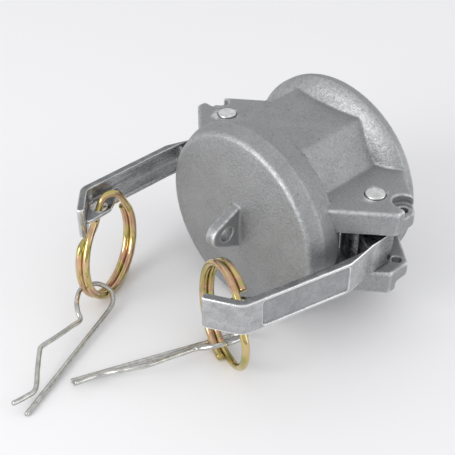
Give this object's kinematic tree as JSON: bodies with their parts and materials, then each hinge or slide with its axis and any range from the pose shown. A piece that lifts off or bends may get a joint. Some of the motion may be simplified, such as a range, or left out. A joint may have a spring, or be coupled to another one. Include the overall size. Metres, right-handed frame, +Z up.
{
  "type": "camlock dust cap",
  "caption": "Quick-coupling dust cap: a gasketed socket with swinging cam arms on pins, pull rings with hairpin safety clips, and a drilled lug for a tether.",
  "frame": {"origin": "centre of the socket's floor", "axes": "+Y along the socket's axis, out of its mouth; +Z up, along the arm pins; +X towards the right arm's pin"},
  "size_m": [0.1119, 0.1619, 0.0848],
  "materials": {
    "cast_aluminium": "as cast, fine grained, matt",
    "black_rubber": "moulded nitrile rubber, matt",
    "bright_steel_pin": "bright cut ends",
    "plated_steel_arm": "cast steel, tumbled and mottled",
    "gold_zinc_wire": "yellow passivated zinc",
    "steel_clip_wire": "drawn spring wire, bright"
  },
  "bodies": {
    "cap": {"cap_body": "cast_aluminium", "gasket": "black_rubber", "pin_right": "bright_steel_pin", "pin_left": "bright_steel_pin"},
    "right_arm": {"arm_right": "plated_steel_arm"},
    "left_arm": {"arm_left": "plated_steel_arm"},
    "right_ring": {"ring_right": "gold_zinc_wire"},
    "left_ring": {"ring_left": "gold_zinc_wire"},
    "right_clip": {"clip_right": "steel_clip_wire"},
    "left_clip": {"clip_left": "steel_clip_wire"}
  },
  "joints": [
    {"name": "right_arm_swing", "type": "hinge", "parent": "cap", "child": "right_arm", "pos_m": [0.0407, 0.0254, 0], "axis": [0, 0, 1], "range_deg": [0, 100]},
    {"name": "left_arm_swing", "type": "hinge", "parent": "cap", "child": "left_arm", "pos_m": [-0.0407, 0.0254, 0], "axis": [0, 0, -1], "range_deg": [-1.5, 87.4]},
    {"name": "right_ring_swing", "type": "hinge", "parent": "right_arm", "child": "right_ring", "pos_m": [0.03418, -0.0392, -0.0019], "axis": [0, 0, 1], "range_deg": [0, 50]},
    {"name": "left_ring_swing", "type": "hinge", "parent": "left_arm", "child": "left_ring", "pos_m": [-0.04843, -0.03907, -0.0019], "axis": [0.4179, -0.9085, 0], "range_deg": [0, 10]},
    {"name": "right_clip_swing", "type": "hinge", "parent": "right_ring", "child": "right_clip", "pos_m": [0.01966, -0.02985, -0.03414], "axis": [0.9081, -0.368, -0.2], "range_deg": [0, 40]},
    {"name": "left_clip_swing", "type": "hinge", "parent": "left_ring", "child": "left_clip", "pos_m": [-0.03419, -0.05385, -0.03177], "axis": [-0.2641, 0.6602, -0.7032], "range_deg": [0, 18]}
  ]
}
